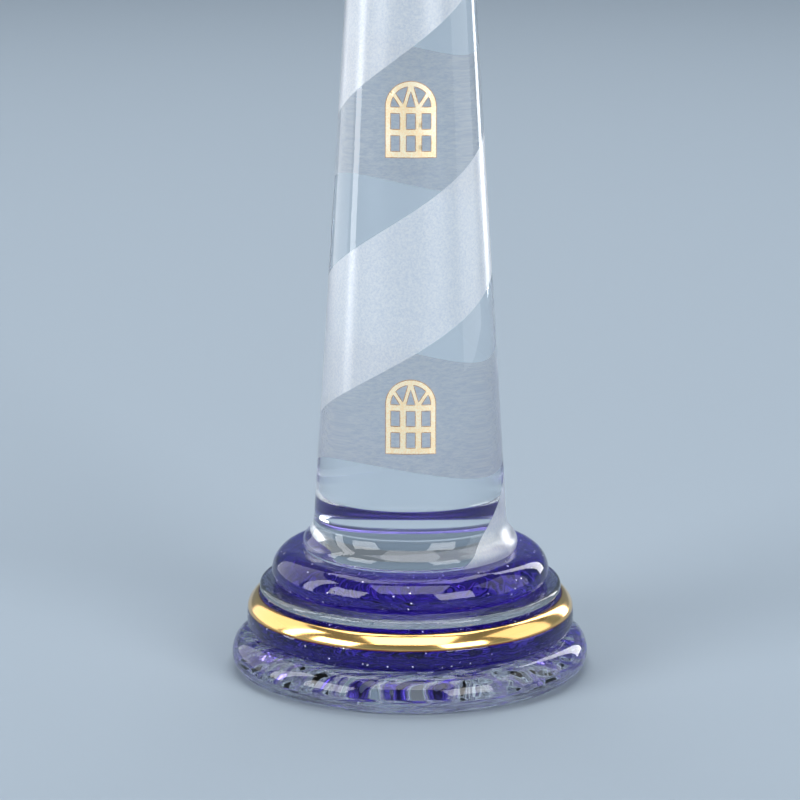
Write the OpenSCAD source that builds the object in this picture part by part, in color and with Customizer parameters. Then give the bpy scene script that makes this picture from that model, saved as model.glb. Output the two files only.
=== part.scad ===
// Glass lighthouse ornament: a solid tapered glass tower with a frosted spiral stripe and
// gold windows, on a base of fused clear and cobalt discs, under a small glass lantern.
// Millimetres. +Z is up, the origin is the centre of the foot's underside, and the windows
// face -Y. Angles round the tower are measured from the front, positive towards +X.

/* [Base discs] */
// Radius of the clear foot
foot_r = 35; // [34:0.5:45]
// Thickness of the clear foot
foot_h = 7.4; // [7.3:0.1:14]
// Rounding under the foot's rim
foot_low_round = 2.8; // [1:0.1:2.8]
// Rounding over the foot's rim
foot_top_round = 4.4; // [2:0.1:4.4]
// Radius of the lower cobalt disc
lower_blue_r = 31.9; // [31:0.1:34]
// Thickness of the lower cobalt disc
lower_blue_h = 7.8; // [6.8:0.1:14]
// Rounding over the lower cobalt disc's rim, which the gold covers
lower_blue_top_round = 4.6; // [3:0.1:4.6]
// Radius of the clear step disc
step_r = 29.4; // [28:0.1:30.5]
// Thickness of the clear step disc
step_h = 1.8; // [1.7:0.1:6]
// Radius of the upper cobalt disc
upper_blue_r = 27; // [26:0.1:28.5]
// Thickness of the upper cobalt disc
upper_blue_h = 6.8; // [6.8:0.1:14]
// Rounding over the upper cobalt disc's rim
upper_blue_top_round = 4.6; // [2:0.1:4.6]
// Rounding under the rims of both cobalt discs
blue_low_round = 2; // [0.5:0.1:2]
// Rounding of the clear step disc's rim
step_round = 0.8; // [0.3:0.1:0.8]

/* [Tower] */
// Radius of the collar that welds the tower to the base
collar_r = 20.9; // [19:0.1:22]
// Rounding of the collar's bulging rim
collar_round = 2.4; // [1.5:0.1:3]
// Height of the collar's widest line over the disc below
collar_middle_h = 1; // [0.6:0.1:1.4]
// Radius of the hollow curve from the collar into the tower
flare_round = 5; // [3:0.5:8]
// Height of the tower above its collar
tower_h = 163.5; // [150:0.5:200]
// Radius of the tower at its top
tower_top_r = 8.5; // [7:0.1:10]

/* [Frosted stripe] */
// Height of the stripe's lower edge at the front, above the floor
stripe_z = 64.5; // [62:0.5:70]
// Height of the stripe, from its lower edge to its upper edge
stripe_h = 26.8; // [15:0.2:30]
// Rise of the stripe in one turn
stripe_pitch = 57.1; // [50:0.1:60]
// Depth that the stripe is sandblasted into the glass
stripe_depth = 0.25; // [0.1:0.05:0.6]
// How far the stripe's upper edge dips in its last turn, towards its pointed tail
tail_dip = 29; // [0:1:35]

/* [Windows] */
// Width of a window
window_w = 9.5; // [8:0.1:11]
// Height of the straight sides of a window, under its arch
window_side_h = 9.4; // [8:0.1:11]
// Width of the outer frame
frame_w = 1.05; // [0.8:0.05:1.3]
// Width of the upright and level bars between the panes
bar_w = 1.25; // [0.8:0.05:1.4]
// Width of the four bars in the arch
fan_bar_w = 0.8; // [0.5:0.05:1]
// Thickness of the gold on the glass
gold_t = 0.2; // [0.15:0.05:0.4]
// Height of the lowest window's sill above the floor
sill_z = 46.1; // [42:0.1:48]
// Distance from one window to the next
window_step = 55.4; // [50:0.1:58]

/* [Gallery and lantern] */
// Radius of the clear disc that ends the tower
neck_r = 11.4; // [10.5:0.1:14]
// Thickness of the clear disc that ends the tower
neck_h = 3; // [2.6:0.1:6]
// Radius of the cobalt gallery disc
gallery_r = 15; // [13.5:0.1:18]
// Thickness of the cobalt gallery disc
gallery_h = 4.4; // [4.3:0.1:8]
// Rounding over the gallery disc's rim, which the gold covers
gallery_top_round = 2.6; // [1.5:0.1:2.8]
// Radius of the clear disc under the lantern
lantern_step_r = 10.8; // [10:0.1:11.8]
// Thickness of the clear disc under the lantern
lantern_step_h = 1.8; // [1.7:0.1:4]
// Radius of the lantern
lantern_r = 7.8; // [6:0.1:8.5]
// Height of the lantern
lantern_h = 15.5; // [12:0.5:20]
// Number of upright gold bars on the lantern
lantern_bars = 8; // [4:1:12]

/* [Roof] */
// Radius of the clear eave disc
eave_r = 10.6; // [10:0.1:13]
// Thickness of the clear eave disc
eave_h = 2.4; // [2:0.1:4]
// Radius of the cobalt dome at its foot
dome_r = 9.2; // [8:0.1:9.4]
// How far the centre of the dome's curve lies past the axis, which makes it pointed
dome_point = 2.4; // [1:0.1:4]
// Radius of the gold ball on the roof
finial_r = 2.5; // [1.8:0.1:3.5]
// Radius of the finial's neck
finial_neck_r = 1.3; // [0.8:0.1:1.6]
// Height of the finial's neck
finial_neck_h = 0.9; // [0.5:0.1:2]

/* [Hidden] */

clear_colour = [0.84, 0.91, 0.96, 0.45];
cobalt_colour = [0.14, 0.10, 0.62, 0.85];
frosted_colour = [0.93, 0.95, 0.97, 0.95];
gold_colour = [0.85, 0.64, 0.24];
window_colour = [0.98, 0.84, 0.58];

// Smoothness of the round pieces, and of each rounded edge
round_steps = 120;
arc_steps = 10;

// Heights of the seams in the stack, from the floor up
foot_top = foot_h;
lower_blue_top = foot_top + lower_blue_h;
step_top = lower_blue_top + step_h;
upper_blue_top = step_top + upper_blue_h;

// The collar's rim curves inward until it leans this far, where the tower's hollow flare
// takes over from it
weld_angle = 45;
collar_centre = [collar_r - collar_round, upper_blue_top + collar_middle_h];
seat_angle = -asin(collar_middle_h / collar_round);
weld = collar_centre + collar_round * [cos(weld_angle), sin(weld_angle)];
flare_centre = collar_centre
    + (collar_round + flare_round) * [cos(weld_angle), sin(weld_angle)];
tower_top = weld[1] + tower_h;

// The straight wall runs from the tower's top, touching the flare's curve
wall_reach = flare_centre - [tower_top_r, tower_top];
wall_angle = atan2(-wall_reach[1], wall_reach[0]) + asin(flare_round / norm(wall_reach));
taper_angle = 90 - wall_angle;

neck_top = tower_top + neck_h;
gallery_top = neck_top + gallery_h;
lantern_step_top = gallery_top + lantern_step_h;
lantern_top = lantern_step_top + lantern_h;
eave_top = lantern_top + eave_h;
dome_curve_r = dome_r + dome_point;
dome_seat_angle = acos((finial_neck_r + dome_point) / dome_curve_r);
dome_top = eave_top + dome_curve_r * sin(dome_seat_angle);

// Part of the small clear discs' thickness that rounds their rims, above and below
small_rim = 0.4;
// Part of the gallery's thickness that rounds the underside of its rim
gallery_low_rim = 1 / 3;

// Gold on a rounded shoulder covers these degrees of its curve
shoulder_gold = [14, 62];
// Gold on the foot of the dome covers these
dome_gold = [3, 14];

// The ribbon of space that the stripe lies in: it starts under the collar's seam and ends
// past the tower's top, in pieces of about this many degrees
ribbon_piece = 15;
ribbon_from = -345;
ribbon_to = 360 * (tower_top - stripe_z) / stripe_pitch + 2 * ribbon_piece;
ribbon_pieces = ceil((ribbon_to - ribbon_from) / ribbon_piece);
// How far that ribbon reaches out of the glass
ribbon_out = 2;
// Part of a turn below the front at which the upper edge starts to dip
tail_start = -0.2;
// Rise and fall of the stripe's edges within a turn
stripe_sway = 0.6;

// Angle above level at which the window's outer fan bars meet the arch
fan_angle = 38;
// How far the drawing of a window reaches past its gold, above and below
window_margin = 1;

// Points of an arc in the plane of radius and height
function arc(centre, r, from, to) =
    [for (i = [0:arc_steps]) let (a = from + (to - from) * i / arc_steps)
        centre + r * [cos(a), sin(a)]];

// Half section of a flat disc whose rim is rounded below and above
function disc_outline(r, h, low_round, top_round) = concat(
    [[0, 0]],
    arc([r - low_round, low_round], low_round, -90, 0),
    arc([r - top_round, h - top_round], top_round, 0, 90),
    [[0, h]]);

// Half section of the glass from the collar's rim up the flare and the tower's wall
function wall_line() = concat(
    arc(collar_centre, collar_round, seat_angle, weld_angle),
    arc(flare_centre, flare_round, 180 + weld_angle, 180 + taper_angle),
    [[tower_top_r, tower_top]]);

// Heights of the stripe's edges at an angle round the tower
function stripe_low(angle) =
    stripe_z + stripe_pitch * angle / 360 + stripe_sway * sin(angle);
function stripe_high(angle) =
    stripe_low(angle) + stripe_h - tail_dip * pow(min(0, angle / 360 - tail_start), 2);

// A point at a radius, an angle from the front and a height
function around(r, angle, z) = [r * sin(angle), -r * cos(angle), z];

module pressed_disc(z, r, h, low_round, top_round) {
    translate([0, 0, z]) rotate_extrude($fn = round_steps)
        polygon(disc_outline(r, h, low_round, top_round));
}

// Gold over part of a rounded edge of revolution
module gold_ring(centre, r, angles) {
    rotate_extrude($fn = round_steps)
        polygon(concat(arc(centre, r + gold_t, angles[0], angles[1]),
                       arc(centre, r, angles[1], angles[0])));
}

module shoulder_band(top, r, top_round) {
    gold_ring([r - top_round, top - top_round], top_round, shoulder_gold);
}

// A ribbon of space that winds up round the tower between the stripe's two edges
module stripe_ribbon() {
    inner_r = tower_top_r / 2;
    outer_r = collar_r + ribbon_out;
    turn = (ribbon_to - ribbon_from) / ribbon_pieces;
    points = [for (i = [0:ribbon_pieces]) let (a = ribbon_from + turn * i)
        each [around(inner_r, a, stripe_low(a)), around(outer_r, a, stripe_low(a)),
              around(outer_r, a, stripe_high(a)), around(inner_r, a, stripe_high(a))]];
    sides = [for (i = [0:ribbon_pieces - 1]) for (k = [0:3])
        let (a = 4 * i + k, b = 4 * i + (k + 1) % 4)
        each [[a, b, b + 4], [a, b + 4, a + 4]]];
    last = 4 * ribbon_pieces;
    ends = [[3, 2, 1, 0], [last, last + 1, last + 2, last + 3]];
    polyhedron(points, concat(ends, sides));
}

// The thin skin of the collar and the tower that sandblasting has turned white
module blasted_layer() {
    line = wall_line();
    inside = [for (i = [len(line) - 1:-1:0]) line[i] - [stripe_depth, 0]];
    intersection() {
        rotate_extrude($fn = round_steps) polygon(concat(line, inside));
        stripe_ribbon();
    }
}

// The gold's thickness on the tower's straight wall
module wall_gold_layer(bottom, top) {
    lean = tan(taper_angle);
    r_bottom = tower_top_r + (tower_top - bottom) * lean;
    r_top = tower_top_r + (tower_top - top) * lean;
    rotate_extrude($fn = round_steps)
        polygon([[r_bottom, bottom], [r_bottom + gold_t, bottom],
                 [r_top + gold_t, top], [r_top, top]]);
}

// A straight bar between two points of the window's drawing
module fan_bar(from, to) {
    run = to - from;
    translate(from) rotate(atan2(run[1], run[0]))
        translate([0, -fan_bar_w / 2]) square([norm(run), fan_bar_w]);
}

// Front view of an arched window of six panes under a fan of four bars
module window_drawing() {
    arch_r = window_w / 2;
    pane_w = (window_w - 2 * frame_w - 2 * bar_w) / 3;
    pane_h = (window_side_h - 3 * bar_w) / 2;
    bar_x = pane_w / 2 + bar_w / 2;
    difference() {
        union() {
            translate([-arch_r, 0]) square([window_w, window_side_h]);
            translate([0, window_side_h]) circle(r = arch_r, $fn = round_steps);
        }
        for (column = [-1:1]) for (row = [0:1])
            translate([column * (pane_w + bar_w) - pane_w / 2, bar_w + row * (pane_h + bar_w)])
                square([pane_w, pane_h]);
        difference() {
            translate([0, window_side_h]) intersection() {
                circle(r = arch_r - frame_w, $fn = round_steps);
                translate([-window_w, 0]) square([2 * window_w, window_w]);
            }
            translate([0, window_side_h]) for (side = [-1, 1]) {
                fan_bar([side * bar_x, -fan_bar_w], [0, arch_r - frame_w / 2]);
                fan_bar([side * bar_x, -fan_bar_w / 4],
                        (arch_r - frame_w / 2) * [side * cos(fan_angle), sin(fan_angle)]);
            }
        }
    }
}

module gold_window(sill) {
    color(window_colour) intersection() {
        wall_gold_layer(sill - window_margin,
                        sill + window_side_h + window_w / 2 + window_margin);
        translate([0, 0, sill]) rotate([90, 0, 0])
            linear_extrude(collar_r) window_drawing();
    }
}

module foot_disc() {
    color(clear_colour) pressed_disc(0, foot_r, foot_h, foot_low_round, foot_top_round);
}

module lower_blue_disc() {
    color(cobalt_colour) pressed_disc(foot_top, lower_blue_r, lower_blue_h,
                                      blue_low_round, lower_blue_top_round);
}

module lower_gold_band() {
    color(gold_colour) shoulder_band(lower_blue_top, lower_blue_r, lower_blue_top_round);
}

module clear_step_disc() {
    color(clear_colour) pressed_disc(lower_blue_top, step_r, step_h, step_round, step_round);
}

module upper_blue_disc() {
    color(cobalt_colour) pressed_disc(step_top, upper_blue_r, upper_blue_h,
                                      blue_low_round, upper_blue_top_round);
}

module tower_collar() {
    color(clear_colour) difference() {
        rotate_extrude($fn = round_steps)
            polygon(concat([[0, upper_blue_top]],
                           arc(collar_centre, collar_round, seat_angle, weld_angle),
                           [[0, weld[1]]]));
        blasted_layer();
    }
}

module tower() {
    color(clear_colour) difference() {
        rotate_extrude($fn = round_steps)
            polygon(concat([[0, weld[1]]],
                           arc(flare_centre, flare_round, 180 + weld_angle, 180 + taper_angle),
                           [[tower_top_r, tower_top], [0, tower_top]]));
        blasted_layer();
    }
}

module frosted_stripe() {
    color(frosted_colour) blasted_layer();
}

module lower_window() {
    gold_window(sill_z);
}

module middle_window() {
    gold_window(sill_z + window_step);
}

module upper_window() {
    gold_window(sill_z + 2 * window_step);
}

module neck_disc() {
    rim = neck_h * small_rim;
    color(clear_colour) pressed_disc(tower_top, neck_r, neck_h, rim, rim);
}

module gallery_disc() {
    color(cobalt_colour) pressed_disc(neck_top, gallery_r, gallery_h,
                                      gallery_h * gallery_low_rim, gallery_top_round);
}

module gallery_gold_band() {
    color(gold_colour) shoulder_band(gallery_top, gallery_r, gallery_top_round);
}

module lantern_step_disc() {
    color(clear_colour) pressed_disc(gallery_top, lantern_step_r, lantern_step_h,
                                     step_round, step_round);
}

module lantern_glass() {
    color(clear_colour) pressed_disc(lantern_step_top, lantern_r, lantern_h,
                                     step_round, step_round);
}

module lantern_glazing_bars() {
    ring_h = bar_w;
    low = lantern_step_top + 2 * step_round;
    high = lantern_top - 2 * step_round;
    color(window_colour) difference() {
        intersection() {
            translate([0, 0, low])
                cylinder(r = lantern_r + gold_t, h = high - low, $fn = round_steps);
            union() {
                for (z = [low, high - ring_h])
                    translate([0, 0, z]) cylinder(r = 2 * lantern_r, h = ring_h);
                for (i = [0:lantern_bars - 1])
                    rotate(360 * (i + 0.5) / lantern_bars)
                        translate([0, -fan_bar_w / 2, low])
                            cube([2 * lantern_r, fan_bar_w, high - low]);
            }
        }
        translate([0, 0, low - 1])
            cylinder(r = lantern_r, h = high - low + 2, $fn = round_steps);
    }
}

module roof_disc() {
    rim = eave_h * small_rim;
    color(clear_colour) pressed_disc(lantern_top, eave_r, eave_h, rim, rim);
}

module roof_dome() {
    color(cobalt_colour) rotate_extrude($fn = round_steps)
        polygon(concat([[0, eave_top]],
                       arc([-dome_point, eave_top], dome_curve_r, 0, dome_seat_angle),
                       [[0, dome_top]]));
}

module roof_gold_band() {
    color(gold_colour) gold_ring([-dome_point, eave_top], dome_curve_r, dome_gold);
}

module finial() {
    neck_angle = acos(finial_neck_r / finial_r);
    ball_z = dome_top + finial_neck_h + finial_r * sin(neck_angle);
    color(gold_colour) rotate_extrude($fn = round_steps)
        polygon(concat([[0, dome_top], [finial_neck_r, dome_top]],
                       arc([0, ball_z], finial_r, -neck_angle, 90)));
}

foot_disc();
lower_blue_disc();
lower_gold_band();
clear_step_disc();
upper_blue_disc();
tower_collar();
tower();
frosted_stripe();
lower_window();
middle_window();
upper_window();
neck_disc();
gallery_disc();
gallery_gold_band();
lantern_step_disc();
lantern_glass();
lantern_glazing_bars();
roof_disc();
roof_dome();
roof_gold_band();
finial();
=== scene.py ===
import math

import bmesh
import bpy
import numpy as np
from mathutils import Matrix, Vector


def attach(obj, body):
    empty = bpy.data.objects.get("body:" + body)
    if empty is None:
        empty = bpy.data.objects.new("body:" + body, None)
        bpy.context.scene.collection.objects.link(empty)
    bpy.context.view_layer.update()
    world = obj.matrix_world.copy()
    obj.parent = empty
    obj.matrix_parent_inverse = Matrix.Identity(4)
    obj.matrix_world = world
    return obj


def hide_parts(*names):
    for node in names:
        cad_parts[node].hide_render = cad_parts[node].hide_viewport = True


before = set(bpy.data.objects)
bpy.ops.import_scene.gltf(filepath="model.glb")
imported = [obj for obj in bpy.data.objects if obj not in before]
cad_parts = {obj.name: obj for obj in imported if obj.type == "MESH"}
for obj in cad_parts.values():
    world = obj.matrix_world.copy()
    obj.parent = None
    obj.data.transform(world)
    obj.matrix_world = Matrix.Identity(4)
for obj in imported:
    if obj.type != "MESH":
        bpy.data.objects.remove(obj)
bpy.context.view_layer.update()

scene = bpy.context.scene
MM = 0.001

# Camera: a long lens a little above, looking down at the base, so that the tower runs out of
# the top of the picture. Its paths of light are long, because they cross many walls of glass.
camera_place = (-2 * MM, -552 * MM, 174.7 * MM)
camera_dip = 12.47
camera_data = bpy.data.cameras.new("camera")
camera_data.sensor_width = 36
camera_data.lens = 131.85
camera_data.clip_start = 0.01
camera_data.clip_end = 50
camera = bpy.data.objects.new("camera", camera_data)
camera.location = camera_place
camera.rotation_euler = (math.radians(90 - camera_dip), 0, 0)
scene.collection.objects.link(camera)
scene.camera = camera
scene.view_settings.view_transform = "Standard"
scene.cycles.max_bounces = 40
scene.cycles.transmission_bounces = 32
scene.cycles.glossy_bounces = 16
scene.cycles.transparent_max_bounces = 64

# Studio: one sheet of matte pale paper that lies flat under the ornament and sweeps up all
# round it far away, three soft lamps, and cards at the sides and overhead that show only in
# reflections, where they draw the long bright lines down the tower.
flat_rings = [0.02, 0.2, 1.0]
flat_reach = 2.6
sweep_radius = 1.1
sweep_top = 1.9
sweep_steps = 23
paper_columns = 96
air_gap = 0.05 * MM
lamp_aim = Vector((0, 0, 60 * MM))
card_distance = 0.5


class Signal:
    """A value that varies over a surface. Arithmetic on it adds Math nodes to its finish."""

    def __init__(self, finish, socket):
        self.finish = finish
        self.socket = socket

    def math(self, operation, *values):
        """What a Math node makes of these values."""
        return self.finish.node("ShaderNodeMath", {"operation": operation}, dict(enumerate(values)))

    def __add__(self, other):
        return self.math("ADD", self, other)

    def __sub__(self, other):
        return self.math("SUBTRACT", self, other)

    def __rsub__(self, other):
        return self.math("SUBTRACT", other, self)

    def __mul__(self, other):
        return self.math("MULTIPLY", self, other)

    def __abs__(self):
        return self.math("ABSOLUTE", self)

    def root(self):
        return self.math("SQRT", self)

    __radd__ = __add__
    __rmul__ = __mul__


class Finish:
    """The material of a finished surface: one Principled shader and the nodes that feed it."""

    def __init__(self, name):
        self.material = bpy.data.materials.new(name)
        self.material.use_nodes = True
        self.tree = self.material.node_tree
        self.tree.nodes.clear()

    def node(self, kind, settings=None, inputs=None, output=0):
        """Adds a node, sets it up, gives its sockets values or links, and returns an output."""
        made = self.tree.nodes.new(kind)
        for key, value in (settings or {}).items():
            setattr(made, key, value)
        for key, value in (inputs or {}).items():
            if isinstance(value, Signal):
                self.tree.links.new(value.socket, made.inputs[key])
            else:
                made.inputs[key].default_value = value
        return Signal(self, made.outputs[output]) if made.outputs else None

    def place(self, scale=(1, 1, 1)):
        """Where a point is on the object, in metres, stretched along each axis by the scale."""
        spot = self.node("ShaderNodeTexCoord", output="Object")
        return self.node("ShaderNodeMapping", None, {"Vector": spot, "Scale": scale})

    def noise(self, size, place=None, detail=2.0, roughness=0.5):
        """Soft noise from 0 to 1, whose blobs are about this many metres across."""
        return self.node("ShaderNodeTexNoise", None, {
            "Vector": place or self.place(), "Scale": 1 / size,
            "Detail": detail, "Roughness": roughness})

    def ramp(self, value, start, end, low=0, high=1, easing="SMOOTHSTEP"):
        """From low to high as the value goes from start to end, and level beyond them."""
        return self.node("ShaderNodeMapRange", {"interpolation_type": easing}, {
            "Value": value, "From Min": start, "From Max": end, "To Min": low, "To Max": high})

    def mix(self, factor, first, second):
        """A blend of two colours, which are the node's inputs 6 and 7 and its output 2."""
        return self.node("ShaderNodeMix", {"data_type": "RGBA"},
                         {0: factor, 6: first, 7: second}, output=2)

    def bump(self, height, depth):
        """A normal for a relief this many metres deep, where the height runs from 0 to 1."""
        return self.node("ShaderNodeBump", None, {"Height": height, "Distance": depth})

    def surface(self, body=None, **sockets):
        """Ends the finish in a Principled shader, over a coloured body if there is one."""
        named = {key.replace("_", " "): value for key, value in sockets.items()}
        ends = {"Surface": self.node("ShaderNodeBsdfPrincipled", None, named)}
        if body:
            ends["Volume"] = body
        self.node("ShaderNodeOutputMaterial", None, ends)
        return self.material


def arc(centre_r, centre_z, radius, start, end, steps=14):
    """Points on a circle in the plane of radius and height: the centre plus the radius times
    the cosine and sine of an angle that goes from start to end, in degrees."""
    a = np.radians(np.linspace(start, end, steps + 1))
    return np.stack([centre_r + radius * np.cos(a), centre_z + radius * np.sin(a)], -1)


def full_turn(columns):
    """Angles in equal steps round a whole turn, in radians."""
    return np.linspace(0, 2 * np.pi, columns + 1)[:-1]


def around(radius, angle, z):
    """Points at a radius from the upright axis, an angle round it from the front, and a
    height: across is the radius times the sine, and forward the radius times the cosine."""
    grids = np.broadcast_arrays(radius * np.sin(angle), -radius * np.cos(angle), z)
    return np.stack(grids, -1)


def ring_faces(rows, columns, closed=False):
    """Quads of a grid of points that is closed along its rows and, if asked, across them."""
    last = rows if closed else rows - 1
    row, column = np.meshgrid(np.arange(last), np.arange(columns), indexing="ij")
    beside = (column + 1) % columns
    over = (row + 1) % rows
    return np.stack([row * columns + column, row * columns + beside,
                     over * columns + beside, over * columns + column], -1).reshape(-1, 4)


def shell(name, points, faces, slots, finishes, smooth=40):
    """A mesh object from arrays of points and faces, where slots gives each face's finish.
    Edges that turn by more than the smooth angle, in degrees, stay sharp."""
    mesh = bpy.data.meshes.new(name)
    mesh.from_pydata(points.tolist(), [], faces)
    for finish in finishes:
        mesh.materials.append(finish)
    mesh.polygons.foreach_set("material_index", np.asarray(slots, dtype=np.int32))
    mesh.shade_smooth()
    mesh.set_sharp_from_angle(angle=math.radians(smooth))
    mesh.update()
    piece = bpy.data.objects.new(name, mesh)
    scene.collection.objects.link(piece)
    return piece


def soft_light(name, azimuth, elevation, distance, half_width, half_height, radiance):
    """A rectangular light aimed at the ornament, its place and half sizes given as angles seen
    from there. Azimuth 0 is the camera's side, positive to its right."""
    a, e = math.radians(azimuth), math.radians(elevation)
    away = Vector((math.sin(a) * math.cos(e), -math.cos(a) * math.cos(e), math.sin(e)))
    data = bpy.data.lights.new(name, "AREA")
    data.shape = "RECTANGLE"
    data.size = 2 * distance * math.tan(math.radians(half_width))
    data.size_y = 2 * distance * math.tan(math.radians(half_height))
    data.energy = radiance * math.pi * data.size * data.size_y
    lamp = bpy.data.objects.new(name, data)
    lamp.location = lamp_aim + away * distance
    lamp.rotation_euler = away.to_track_quat("Z", "Y").to_euler()
    lamp.visible_camera = False
    scene.collection.objects.link(lamp)
    return lamp


def mirrored_card(name, azimuth, elevation, half_width, half_height, radiance):
    """A bright card near the ornament that shows only in reflections."""
    card = soft_light(name, azimuth, elevation, card_distance, half_width, half_height, radiance)
    card.visible_diffuse = False
    card.visible_transmission = False


pale_paper = Finish("pale_paper").surface(Base_Color=(0.46, 0.54, 0.62, 1), Roughness=0.9,
                                          Specular_IOR_Level=0.0)
paper_line = np.concatenate([
    [[radius, 0] for radius in flat_rings],
    arc(flat_reach, sweep_radius, sweep_radius, -90, 0, sweep_steps),
    [[flat_reach + sweep_radius, sweep_top]]]) - [0, air_gap]
paper_grid = around(paper_line[:, :1], full_turn(paper_columns), paper_line[:, 1:])
paper_points = np.concatenate([paper_grid.reshape(-1, 3), [[0, 0, -air_gap]]])
paper_middle = len(paper_points) - 1
paper_faces = ring_faces(len(paper_line), paper_columns)[:, ::-1].tolist()
paper_faces += [[paper_middle, (i + 1) % paper_columns, i] for i in range(paper_columns)]
floor = shell("floor", paper_points, paper_faces, [0] * len(paper_faces), [pale_paper])

world = bpy.data.worlds.new("studio_air")
world.use_nodes = True
world.node_tree.nodes["Background"].inputs["Color"].default_value = (0.80, 0.90, 1.0, 1)
world.node_tree.nodes["Background"].inputs["Strength"].default_value = 0.22
scene.world = world

soft_light("left_softbox", -56, 22, 3.0, 15, 15, 6)
soft_light("right_softbox", 39, 22, 3.0, 15, 15, 6).visible_transmission = False
soft_light("back_softbox", 180, 68, 2.0, 22, 18, 3)
mirrored_card("left_strip", -90, 20, 6, 27, 5)
mirrored_card("left_card", -122, 20, 22, 27, 1.2)
mirrored_card("right_card", 92, 20, 20, 27, 1.2)
mirrored_card("right_strip", 137, 20, 6, 27, 5)
mirrored_card("front_card", 0, 58, 24, 22, 3)

# Foot: a puddle of clear glass with a thick rounded rim and with folds pressed into its
# underside. The next disc was laid on it hot, and they are fused in a ring, where light leaves
# the foot unbent.
foot_r = 35 * MM
foot_h = 7.4 * MM
foot_low_round = 2.8 * MM
foot_top_round = 4.4 * MM
foot_wobble = 0.5 * MM
lower_blue_r = 31.9 * MM
blue_low_round = 2 * MM
# The ring of its top that is fused, out to the next disc's flat
joint_outer_r = lower_blue_r - blue_low_round
joint_inner_r = 23 * MM
# The folds' slant, and how far up they keep their full depth
fold_slant = 2.4
fold_full_h = 0.2 * MM
disc_columns = 240
# Film of air between two pieces that lie on each other
film = 0.04 * MM


def clear_surface(glass, normal):
    """Ends a finish as polished clear glass."""
    return glass.surface(Base_Color=(0.93, 0.97, 1.0, 1), Roughness=0.0, IOR=1.47,
                         Transmission_Weight=1.0, Normal=normal)


def folds(glass, base, height, size, stretch):
    """Relief from 0 to 1 of the folds pressed into a disc's underside, which fade out over
    the height above its base. With across for the distance from the axis plus the height, it
    is noise at x less the slant times across, at y, and at the stretch times across, so the
    folds run round the axis, a little askew."""
    x, y, z = (glass.node("ShaderNodeSeparateXYZ", None, {"Vector": glass.place()}, output=axis)
               for axis in "XYZ")
    low = glass.ramp(z, base + fold_full_h, base + height, 1, 0)
    across = (x * x + y * y).root() + z
    along = glass.node("ShaderNodeCombineXYZ", None, {
        "X": x - across * fold_slant, "Y": y, "Z": across * stretch})
    return low * glass.noise(size, along, detail=1.6)


def crinkled_glass(name, base, height, size, stretch, depth):
    """Clear glass that is smooth above and crumpled like foil underneath."""
    glass = Finish(name)
    return clear_surface(glass, glass.bump(folds(glass, base, height, size, stretch), depth))


def disc_line(z, r, h, low_round, top_round, *inner):
    """Half section of a flat disc whose rim is rounded below and above, from its underside
    round the rim to its upper side, without the two points on the axis. The upper side may
    have further points at inner radii."""
    return np.concatenate([
        arc(r - low_round, z + low_round, low_round, -90, 0),
        arc(r - top_round, z + h - top_round, top_round, 0, 90),
        *([[radius, z + h]] for radius in inner)])


def slow_waves(angle, orders, phases):
    """A sum of sines of the angle, one for each order and phase, divided by their orders."""
    return sum(np.sin(order * angle + phase) / order for order, phase in zip(orders, phases))


def turned(name, line, finishes, wobble=0.0, seed=0):
    """A solid of revolution of the line, with its poles closed. In the outer part of its
    radius the line's points move in towards the axis by up to the wobble, by three slow
    waves. A second finish, if there is one, goes on the line's last ring."""
    angle = full_turn(disc_columns)
    phases = np.random.default_rng(seed).uniform(0, 2 * np.pi, 3)
    largest_sum = 1.1
    waves = slow_waves(angle, (2, 3, 4), phases) / largest_sum
    still_share = 0.6
    share = np.clip((line[:, 0] / line[:, 0].max() - still_share) / (1 - still_share), 0, 1)
    radius = line[:, :1] - share[:, None] * wobble * (0.5 - 0.5 * waves)
    points = around(radius, angle, line[:, 1:]).reshape(-1, 3)
    poles = [[0, 0, line[0, 1]], [0, 0, line[-1, 1]]]
    here = np.arange(disc_columns)
    beside = (here + 1) % disc_columns
    last = len(points) - disc_columns
    pole = np.full(disc_columns, len(points))
    under = np.stack([pole, beside, here], -1)
    over = np.stack([pole + 1, last + here, last + beside], -1)
    faces = ring_faces(len(line), disc_columns).tolist() + under.tolist() + over.tolist()
    slots = np.zeros(len(faces), int)
    slots[-3 * disc_columns:-2 * disc_columns] = len(finishes) - 1
    return shell(name, np.concatenate([points, poles]), faces, slots, finishes)


clear_joint = Finish("fused_joint").surface(Base_Color=(1, 1, 1, 1), Roughness=0.0, Alpha=0.0)
foot_glass = crinkled_glass("foot_glass", base=0, height=1.6 * MM, size=6 * MM, stretch=4,
                            depth=1.2 * MM)
foot_line = disc_line(0, foot_r, foot_h - film, foot_low_round, foot_top_round,
                      joint_outer_r, joint_inner_r)
foot = turned("foot_disc_glass", foot_line, [foot_glass, clear_joint], foot_wobble, seed=1)
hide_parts("foot_disc")
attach(foot, "root")

# Lower cobalt disc: a flat disc of deep violet-blue glass with fine seed bubbles, laid on the
# foot while both were hot. Its upper shoulder carries the gold band.
lower_blue_h = 7.8 * MM
lower_blue_top_round = 4.6 * MM
lower_blue_top = foot_h + lower_blue_h
seed_spacing = 1.8 * MM


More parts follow.
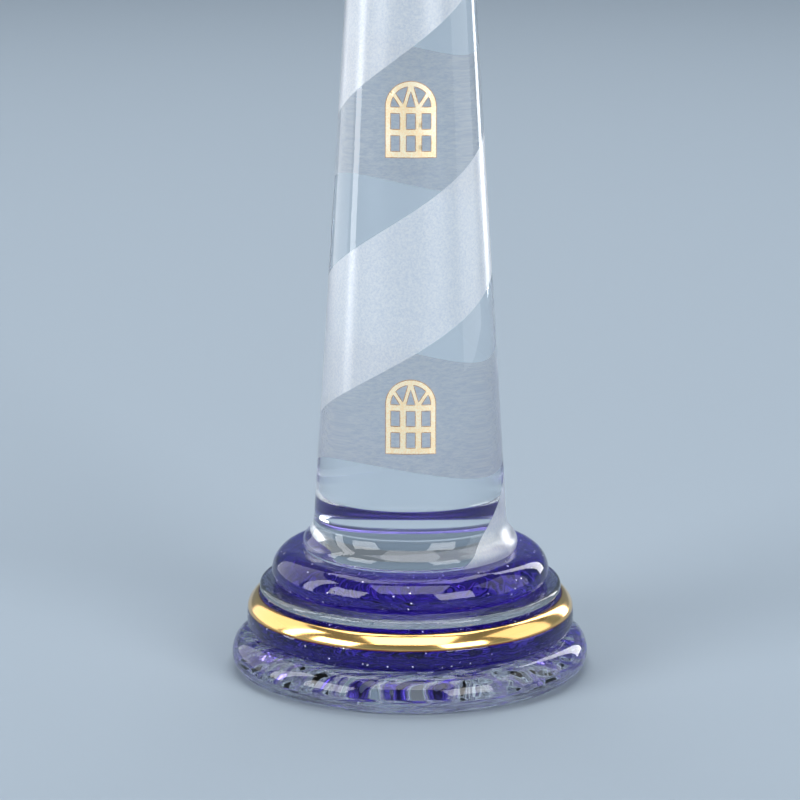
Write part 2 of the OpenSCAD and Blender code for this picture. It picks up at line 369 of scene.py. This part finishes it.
def cobalt_glass(name, base, fold_depth):
    """Polished cobalt glass, which takes the red and the green out of light at its surface
    and by its thickness. Its relief, in millimetres, adds up slow waves, seed bubbles that
    mirror the light, and folds in its underside. A bubble's edge lies at 0.06 to 0.14 of the
    spacing from its middle."""
    glass = Finish(name)
    spots = glass.node("ShaderNodeTexVoronoi", None,
                       {"Vector": glass.place(), "Scale": 1 / seed_spacing})
    seeds = glass.ramp(spots, 0.06, 0.14, 1, 0)
    colour = glass.mix(seeds, (0.50, 0.42, 0.88, 1), (1, 1, 1, 1))
    waves = glass.noise(7 * MM) * 0.06
    creases = folds(glass, base, height=3 * MM, size=5 * MM, stretch=3)
    relief = waves + seeds * 0.12 + creases * (fold_depth / MM)
    body = glass.node("ShaderNodeVolumeAbsorption", None,
                      {"Color": (0.42, 0.22, 0.84, 1), "Density": 60})
    return glass.surface(body, Base_Color=colour, Metallic=seeds, Roughness=seeds * 0.3, IOR=1.5,
                         Transmission_Weight=1.0, Normal=glass.bump(relief, MM))


lower_blue_line = disc_line(foot_h, lower_blue_r, lower_blue_h - film, blue_low_round,
                            lower_blue_top_round)
lower_blue = turned("lower_blue_disc_glass", lower_blue_line,
                    [cobalt_glass("lower_cobalt", foot_h, 0.25 * MM)])
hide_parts("lower_blue_disc")
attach(lower_blue, "root")

# Lower gold band: liquid bright gold brushed round the disc's shoulder and fired, so it lies on
# the glass as a bright skin with slightly uneven edges. Its slopes, margin and sway are in
# degrees of the shoulder's arc.
shoulder_gold = (14, 62)
gold_columns = 360
gold_rows = 16
gold_hump = 0.16 * MM
gold_edge = 0.02 * MM
gold_margin = 0.8
gold_sway = 0.7


def gold_lustre(name):
    """Fired gold: bright metal with faint brush streaks, burnt red-brown at its thin edges,
    which lie half a band's width from its middle."""
    gold = Finish(name)
    band = gold.node("ShaderNodeUVMap", {"uv_map": "band"})
    across = gold.node("ShaderNodeSeparateXYZ", None, {"Vector": band}, output="Y")
    streaks = gold.noise(1.5 * MM, gold.place((0.35, 0.35, 3.0)), detail=3)
    edge = gold.ramp(abs(across - 0.5) + (streaks - 0.5) * 0.05, 0.40, 0.49)
    colour = gold.mix(edge, (1.0, 0.62, 0.22, 1), (0.30, 0.07, 0.02, 1))
    return gold.surface(Base_Color=colour, Metallic=1.0, Roughness=0.08 + streaks * 0.10,
                        Normal=gold.bump(streaks, 0.01 * MM))


def gold_band(name, centre_r, centre_z, radius, slopes, finish, seed):
    """A thin crescent of gold over a rounded edge, between two slopes. Its outer face is
    raised above the arc by a hump that falls off with the fourth power of the distance from
    its middle, its inner face is sunk just into the glass, and both edges wander by waves."""
    orders = (2, 3, 5, 9, 14, 23)
    angle = full_turn(gold_columns)
    low_phases, high_phases = np.random.default_rng(seed).uniform(0, 2 * np.pi, (2, len(orders)))
    low = slopes[0] + gold_margin + gold_sway * slow_waves(angle, orders, low_phases)
    high = slopes[1] - gold_margin + gold_sway * slow_waves(angle, orders, high_phases)
    across = np.linspace(0, 1, gold_rows)
    hump = gold_hump * (1 - np.abs(2 * across - 1) ** 4) + gold_edge
    lift = np.concatenate([hump, np.full(gold_rows, -gold_edge)])
    share = np.concatenate([across, across[::-1]])
    slope = np.radians(low + share[:, None] * (high - low))
    radial = centre_r + (radius + lift[:, None]) * np.cos(slope)
    z = centre_z + (radius + lift[:, None]) * np.sin(slope)
    faces = ring_faces(2 * gold_rows, gold_columns, closed=True).tolist()
    piece = shell(name, around(radial, angle, z).reshape(-1, 3), faces, [0] * len(faces),
                  [finish], smooth=60)
    band = piece.data.uv_layers.new(name="band")
    corner = np.zeros(len(piece.data.loops), int)
    piece.data.loops.foreach_get("vertex_index", corner)
    spots = np.stack([(corner % gold_columns) / gold_columns, share[corner // gold_columns]], -1)
    band.data.foreach_set("uv", spots.ravel())
    return piece


bright_gold = gold_lustre("bright_gold")
lower_gold = gold_band("lower_gold_lustre", lower_blue_r - lower_blue_top_round,
                       lower_blue_top - lower_blue_top_round, lower_blue_top_round,
                       shoulder_gold, bright_gold, seed=3)
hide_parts("lower_gold_band")
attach(lower_gold, "root")

# Clear step disc: a thin disc of clear glass between the two cobalt ones, seen as a bright
# edge. It was laid on hot, with faint folds underneath.
step_r = 29.4 * MM
step_h = 1.8 * MM
step_round = 0.8 * MM
step_top = lower_blue_top + step_h
step_glass = crinkled_glass("step_glass", base=lower_blue_top, height=1.2 * MM, size=3 * MM,
                            stretch=4, depth=0.15 * MM)
step_line = disc_line(lower_blue_top, step_r, step_h - film, step_round, step_round)
step = turned("clear_step_glass", step_line, [step_glass])
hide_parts("clear_step_disc")
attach(step, "root")

# Upper cobalt disc: the same glass as the lower one, in a smaller disc that was laid on the
# clear step. Its soft domed shoulder was left bare.
upper_blue_r = 27 * MM
upper_blue_h = 6.8 * MM
upper_blue_top_round = 4.6 * MM
upper_blue_top = step_top + upper_blue_h
upper_blue_line = disc_line(step_top, upper_blue_r, upper_blue_h - film, blue_low_round,
                            upper_blue_top_round)
upper_blue = turned("upper_blue_disc_glass", upper_blue_line,
                    [cobalt_glass("upper_cobalt", step_top, 0.35 * MM)])
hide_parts("upper_blue_disc")
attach(upper_blue, "root")

# Tower collar: the clear wrap that welds the tower to its base, a bulging ring whose top curls
# into the tower's hollow flare. The frosted stripe's tail runs out across it.
collar_r = 20.9 * MM
collar_round = 2.4 * MM
collar_middle_h = 1 * MM
weld_angle = 45
flare_round = 5 * MM
tower_h = 163.5 * MM
tower_top_r = 8.5 * MM
lean = (math.cos(math.radians(weld_angle)), math.sin(math.radians(weld_angle)))
collar_centre = (collar_r - collar_round, upper_blue_top + collar_middle_h)
weld_z = collar_centre[1] + collar_round * lean[1]
flare_centre = (collar_centre[0] + (collar_round + flare_round) * lean[0],
                collar_centre[1] + (collar_round + flare_round) * lean[1])
tower_top = weld_z + tower_h
reach = (flare_centre[0] - tower_top_r, flare_centre[1] - tower_top)
wall_angle = math.atan2(-reach[1], reach[0]) + math.asin(flare_round / math.hypot(*reach))
taper = math.pi / 2 - wall_angle
flare_end_r = flare_centre[0] - flare_round * math.cos(taper)
flare_end_z = flare_centre[1] - flare_round * math.sin(taper)
# The stripe's lower edge at the front, its height, its climb in one turn, how deep it is cut,
# and the sway of its edges
stripe_z = 64.5 * MM
stripe_h = 26.8 * MM
stripe_pitch = 57.1 * MM
stripe_depth = 0.25 * MM
stripe_sway = 0.6 * MM
# Its tail starts this many turns from the front, and dips by this much in a turn
tail_start = -0.2
tail_dip = 29 * MM
# The wall lies this far inside what is fired on it
window_film = 0.01 * MM
# The collar is fused to its seat outside this share of its radius
weld_share = 0.8


def wall_radius(z):
    """Radius of the glass at a height: the collar's round bulge, then the hollow curve of the
    flare, then a straight taper to the tower's top."""
    bulge = collar_centre[0] + np.sqrt(np.maximum(collar_round**2 - (z - collar_centre[1])**2, 0))
    hollow = flare_centre[0] - np.sqrt(np.maximum(flare_round**2 - (z - flare_centre[1])**2, 0))
    share = (z - flare_end_z) / (tower_top - flare_end_z)
    straight = flare_end_r + share * (tower_top_r - flare_end_r)
    return np.where(z < weld_z, bulge, np.where(z < flare_end_z, hollow, straight))


def stripe_low(turns):
    """Height of the stripe's lower edge, so many turns from the front: a steady climb that
    sways a little with the angle."""
    return stripe_z + stripe_pitch * turns + stripe_sway * np.sin(2 * np.pi * turns)


def stripe_high(turns):
    """Height of its upper edge, which dips by a square law in the last turn, to a tail."""
    return stripe_low(turns) + stripe_h - tail_dip * np.minimum(0, turns - tail_start) ** 2


# Levels of the wall's grid, from the collar's seat past the weld and the flare to the top
collar_levels = np.linspace(upper_blue_top, weld_z, num=10)
flare_levels = np.linspace(weld_z, flare_end_z, num=12)[1:]
straight_levels = np.linspace(flare_end_z, tower_top, num=90)[1:]
levels = np.concatenate([collar_levels, flare_levels, straight_levels])
weld_level = len(collar_levels) - 1
top_level = len(levels) - 1
wall_columns = 360
column_turns = np.arange(wall_columns) / wall_columns - 0.5


def wall_grid():
    """Heights of the wall's grid of points and which upright steps of it are frosted. On each
    upright line the level nearest to an edge of the stripe moves onto that edge."""
    heights = np.repeat(levels[:, None], wall_columns, 1)
    index = np.arange(len(levels))[:, None]
    frosted = np.zeros((len(levels) - 1, wall_columns), bool)
    column = np.arange(wall_columns)
    for winding in range(-1, 4):
        edges = [edge(column_turns + winding) for edge in (stripe_low, stripe_high)]
        nearest = [np.abs(levels[:, None] - edge).argmin(0) for edge in edges]
        frosted |= (index[:-1] >= nearest[0]) & (index[:-1] < nearest[1])
        for edge, level in zip(edges, nearest):
            free = (level > 0) & (level < top_level) & (level != weld_level)
            heights[level[free], column[free]] = edge[free]
    return heights, frosted


wall_heights, wall_frosted = wall_grid()


def outward(piece):
    """Turns every face of a closed mesh outwards."""
    work = bmesh.new()
    work.from_mesh(piece.data)
    bmesh.ops.recalc_face_normals(work, faces=work.faces)
    work.to_mesh(piece.data)
    work.free()


def wall_piece(name, start, stop, skin, finishes):
    """A closed solid of the wall between two levels: either the frosted skin or the glass
    inside it. Each quad of the grid is cut along its rising diagonal, so that the stripe's
    edges run along edges of triangles. Where the piece is fused, it has the second finish."""
    grids = [around(wall_radius(wall_heights) - depth, 2 * np.pi * column_turns, wall_heights)
             for depth in (window_film, stripe_depth)]
    points = np.stack(grids).reshape(-1, 3)
    outer = np.arange(wall_heights.size).reshape(wall_heights.shape)
    inner = outer + outer.size
    here = np.arange(wall_columns)
    beside = (here + 1) % wall_columns

    def triangles(grid):
        """The lower triangle of every quad of a grid, and then the upper ones."""
        low, high = grid[start:stop], grid[start + 1:stop + 1]
        lower = np.stack([low, low[:, beside], high[:, beside]], -1)
        upper = np.stack([low, high[:, beside], high], -1)
        return np.concatenate([lower, upper]).reshape(-1, 3)

    def strip(first, second):
        """Quads from the wall's face in to the stripe's depth, between pairs of its points."""
        return np.stack([outer[first], outer[second], inner[second], inner[first]], -1)

    lower_frosted = wall_frosted[start:stop][:, beside]
    upper_frosted = wall_frosted[start:stop]
    frosted = np.concatenate([lower_frosted, upper_frosted]).ravel()
    row, column = np.nonzero(lower_frosted != upper_frosted)
    slanting = strip((row + start, column), (row + start + 1, beside[column]))
    row, column = np.nonzero(upper_frosted[:-1] != lower_frosted[1:])
    level_strip = strip((row + start + 1, column), (row + start + 1, beside[column]))
    open_side = triangles(outer)[frosted if skin else ~frosted].tolist()
    fused_side = triangles(inner)[frosted].tolist() + slanting.tolist() + level_strip.tolist()
    faces = open_side + fused_side
    slots = [0] * len(open_side) + [1] * len(fused_side)
    for level, kind in ((start, lower_frosted[0]), (stop, upper_frosted[-1])):
        there = here[kind if skin else ~kind]
        rim = strip((level, there), (level, beside[there]))
        faces += rim.tolist()
        slots += [1] * len(rim)
        if not skin:
            ring = here + len(points)
            circle = points[inner[level]] * [weld_share, weld_share, 1]
            points = np.concatenate([points, circle, [[0, 0, levels[level]]]])
            middle = np.full(wall_columns, len(points) - 1)
            lid = np.stack([inner[level], inner[level, beside], ring[beside], ring], -1)
            fan = np.stack([ring, ring[beside], middle], -1)
            faces += lid.tolist() + fan.tolist()
            slots += [1] * len(lid) + [1 if level else 0] * len(fan)
    used = np.unique(np.concatenate([np.ravel(face) for face in faces]))
    number = np.zeros(len(points), int)
    number[used] = np.arange(len(used))
    piece = shell(name, points[used], [number[face].tolist() for face in faces], slots, finishes)
    outward(piece)
    return piece


def clear_glass(name, ripple_size, ripple_depth, stretch=(1, 1, 1)):
    """Polished clear glass whose surface still waves a little from the making."""
    glass = Finish(name)
    waves = glass.noise(ripple_size, glass.place(stretch), detail=2.5, roughness=0.55)
    return clear_surface(glass, glass.bump(waves, ripple_depth))


collar_glass = clear_glass("collar_glass", 9 * MM, 0.03 * MM)
collar = wall_piece("tower_collar_glass", 0, weld_level, skin=False,
                    finishes=[collar_glass, clear_joint])
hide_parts("tower_collar")
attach(collar, "root")

# Tower: a solid rod of clear glass, drawn to a taper and flared at its foot, so the back of the
# stripe shows through it, bent. Fine draw lines run up its wall.
tower_glass = clear_glass("tower_glass", 5 * MM, 0.003 * MM, stretch=(1, 1, 0.08))
tower = wall_piece("tower_glass_rod", weld_level, top_level, skin=False,
                   finishes=[tower_glass, clear_joint])
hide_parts("tower")
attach(tower, "root")


# Frosted stripe: the band of the tower's and the collar's surface that was left bare of masking
# tape and sandblasted white, a right-handed spiral with a pointed tail.
def frosted_glass(name):
    """Sandblasted glass: a fine white grain that scatters light and lets some through."""
    frost = Finish(name)
    grain = frost.noise(0.45 * MM, roughness=0.8)
    cloud = frost.noise(6 * MM, detail=3)
    speckle = frost.ramp(grain, 0.35, 0.65, easing="LINEAR")
    colour = frost.mix(speckle, (0.76, 0.80, 0.88, 1), (1.0, 1.0, 1.0, 1))
    return frost.surface(
        Base_Color=colour, Roughness=0.30 + cloud * 0.08, IOR=1.47,
        Specular_IOR_Level=1.0, Transmission_Weight=0.6, Normal=frost.bump(grain, 0.02 * MM),
        Coat_Weight=1.0, Coat_Roughness=0.25, Coat_IOR=1.8)


stripe = wall_piece("frosted_stripe_glass", 0, top_level, skin=True,
                    finishes=[frosted_glass("sandblasted"), clear_joint])
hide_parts("frosted_stripe")
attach(stripe, "root")

# Windows: three arched windows of pale gold on the tower's front, printed as decals and fired
# on. A narrow dark red-brown rim round their outer face is painted shade along the print's edge.
# Width of the rim of painted shade round each window's outer face
window_rim = 0.11 * MM


def window_gold(name, dark, light):
    """Fired gold with a speckled grain, duller than the bright bands, between two colours. With
    dark colours it makes the rim of painted shade round a window.
    """
    gold = Finish(name)
    grain = gold.noise(0.3 * MM, roughness=0.7)
    cloud = gold.noise(4 * MM)
    shade = gold.ramp(grain * 0.7 + cloud * 0.3, 0.40, 0.60, easing="LINEAR")
    return gold.surface(Base_Color=gold.mix(shade, dark, light), Metallic=0.4, Roughness=0.4,
                        Normal=gold.bump(grain, 0.03 * MM))


pale_gold = window_gold("pale_gold", (1.0, 0.76, 0.44, 1), (1.0, 0.92, 0.70, 1))
# Dark red-brown for the windows' rim: painted shade along the print's edge
painted_rim_shade = window_gold("painted_rim_shade", (0.30, 0.09, 0.03, 1), (0.55, 0.22, 0.07, 1))


def fired_window(node):
    """The window's printed shape, with a narrow dark red-brown rim of painted shade round its outer
    face.
    """
    work = bmesh.new()
    work.from_mesh(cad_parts[node].data)
    bmesh.ops.remove_doubles(work, verts=work.verts, dist=0.001 * MM)
    front = [face for face in work.faces if face.normal.y < -0.5]
    rim = bmesh.ops.inset_region(work, faces=front, thickness=window_rim, use_even_offset=False)
    for face in work.faces:
        face.material_index = 0
    for face in rim["faces"]:
        face.material_index = 1
    mesh = bpy.data.meshes.new(node + "_print")
    work.to_mesh(mesh)
    work.free()
    mesh.shade_smooth()
    mesh.set_sharp_from_angle(angle=math.radians(40))
    mesh.materials.append(pale_gold)
    mesh.materials.append(painted_rim_shade)
    piece = bpy.data.objects.new(node + "_print", mesh)
    scene.collection.objects.link(piece)
    return piece


for name in ("lower_window", "middle_window", "upper_window"):
    window = fired_window(name)
    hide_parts(name)
    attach(window, "root")

# Neck disc: a small disc of clear glass with a round rim, which closes the tower's top and
# carries the gallery.
neck_r = 11.4 * MM
neck_h = 3 * MM
neck_round = 0.4 * neck_h
neck_top = tower_top + neck_h
small_clear = clear_glass("small_clear_glass", 5 * MM, 0.03 * MM)
neck_line = disc_line(tower_top + film, neck_r, neck_h - 2 * film, neck_round, neck_round)
neck = turned("neck_disc_glass", neck_line, [small_clear])
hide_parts("neck_disc")
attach(neck, "root")

# Gallery disc: the walkway round the lantern, a disc of cobalt glass pressed like the discs of
# the base and fused on the neck.
gallery_r = 15 * MM
gallery_h = 4.4 * MM
gallery_low_round = gallery_h / 3
gallery_top_round = 2.6 * MM
gallery_top = neck_top + gallery_h
small_cobalt = cobalt_glass("small_cobalt", neck_top, 0.2 * MM)
gallery_line = disc_line(neck_top, gallery_r, gallery_h - film, gallery_low_round,
                         gallery_top_round)
gallery = turned("gallery_disc_glass", gallery_line, [small_cobalt])
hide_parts("gallery_disc")
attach(gallery, "root")

# Gallery gold band: the same fired gold as below, brushed round the walkway's shoulder over
# the same slopes.
gallery_gold = gold_band("gallery_gold_lustre", gallery_r - gallery_top_round,
                         gallery_top - gallery_top_round, gallery_top_round, shoulder_gold,
                         bright_gold, seed=5)
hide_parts("gallery_gold_band")
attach(gallery_gold, "root")

# Lantern step disc: a thin disc of clear glass, fused on the gallery, that the lantern
# stands on.
lantern_step_r = 10.8 * MM
lantern_step_h = 1.8 * MM
lantern_step_top = gallery_top + lantern_step_h
lantern_step_line = disc_line(gallery_top, lantern_step_r, lantern_step_h - film, step_round,
                              step_round)
lantern_step = turned("lantern_step_glass", lantern_step_line, [small_clear])
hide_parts("lantern_step_disc")
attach(lantern_step, "root")

# Lantern: a short solid cylinder of clear glass with rounded edges, which stands on the step
# and carries the roof.
lantern_r = 7.8 * MM
lantern_h = 15.5 * MM
lantern_top = lantern_step_top + lantern_h
lantern_line = disc_line(lantern_step_top, lantern_r - window_film, lantern_h - film, step_round,
                         step_round)
lantern = turned("lantern_glass_body", lantern_line, [small_clear])
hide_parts("lantern_glass")
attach(lantern, "root")

# Glazing bars: eight upright bars between two rings, painted round the lantern in pale gold
# and fired on.
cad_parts["lantern_glazing_bars"].material_slots[0].material = pale_gold

# Roof disc: the eave, a disc of clear glass with a round rim, which lies on the lantern and
# carries the dome.
eave_r = 10.6 * MM
eave_h = 2.4 * MM
eave_round = 0.4 * eave_h
eave_top = lantern_top + eave_h
eave_line = disc_line(lantern_top, eave_r, eave_h - film, eave_round, eave_round)
eave = turned("roof_disc_glass", eave_line, [small_clear])
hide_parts("roof_disc")
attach(eave, "root")

# Roof dome: a pointed dome of cobalt glass, fused on the eave. Its outline is an arc whose
# centre lies beyond the axis, which gives it the point.
dome_r = 9.2 * MM
dome_point = 2.4 * MM
dome_steps = 30
finial_neck_r = 1.3 * MM
dome_curve_r = dome_r + dome_point
dome_end = math.degrees(math.acos((finial_neck_r + dome_point) / dome_curve_r))
dome_line = arc(-dome_point, eave_top, dome_curve_r, 0, dome_end, dome_steps)
dome = turned("roof_dome_glass", dome_line, [small_cobalt])
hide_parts("roof_dome")
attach(dome, "root")

# Roof gold band: the same fired gold, brushed round the foot of the dome over the first
# degrees of its arc.
dome_gold = (3, 14)
roof_gold = gold_band("roof_gold_lustre", -dome_point, eave_top, dome_curve_r, dome_gold,
                      bright_gold, seed=8)
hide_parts("roof_gold_band")
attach(roof_gold, "root")

# Finial: a ball of glass on a short neck at the dome's tip, covered all over with fired gold.
# Its outline stops just short of the top, where the pole closes it.
finial_r = 2.5 * MM
finial_neck_h = 0.9 * MM
finial_end = 89
finial_steps = 40


def plain_gold(name):
    """Fired gold all over a small piece, with faint brush streaks."""
    gold = Finish(name)
    streaks = gold.noise(0.8 * MM, detail=3)
    colour = gold.mix(streaks, (0.95, 0.66, 0.26, 1), (1.0, 0.78, 0.38, 1))
    return gold.surface(Base_Color=colour, Metallic=1.0, Roughness=0.12 + streaks * 0.08,
                        Normal=gold.bump(streaks, 0.01 * MM))


dome_top = eave_top + dome_curve_r * math.sin(math.radians(dome_end))
neck_angle = math.degrees(math.acos(finial_neck_r / finial_r))
ball_z = dome_top + finial_neck_h + finial_r * math.sin(math.radians(neck_angle))
finial_line = np.concatenate([
    [[finial_neck_r, dome_top]],
    arc(0, ball_z, finial_r, -neck_angle, finial_end, finial_steps)])
finial = turned("finial_gold", finial_line, [plain_gold("finial_lustre")])
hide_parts("finial")
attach(finial, "root")
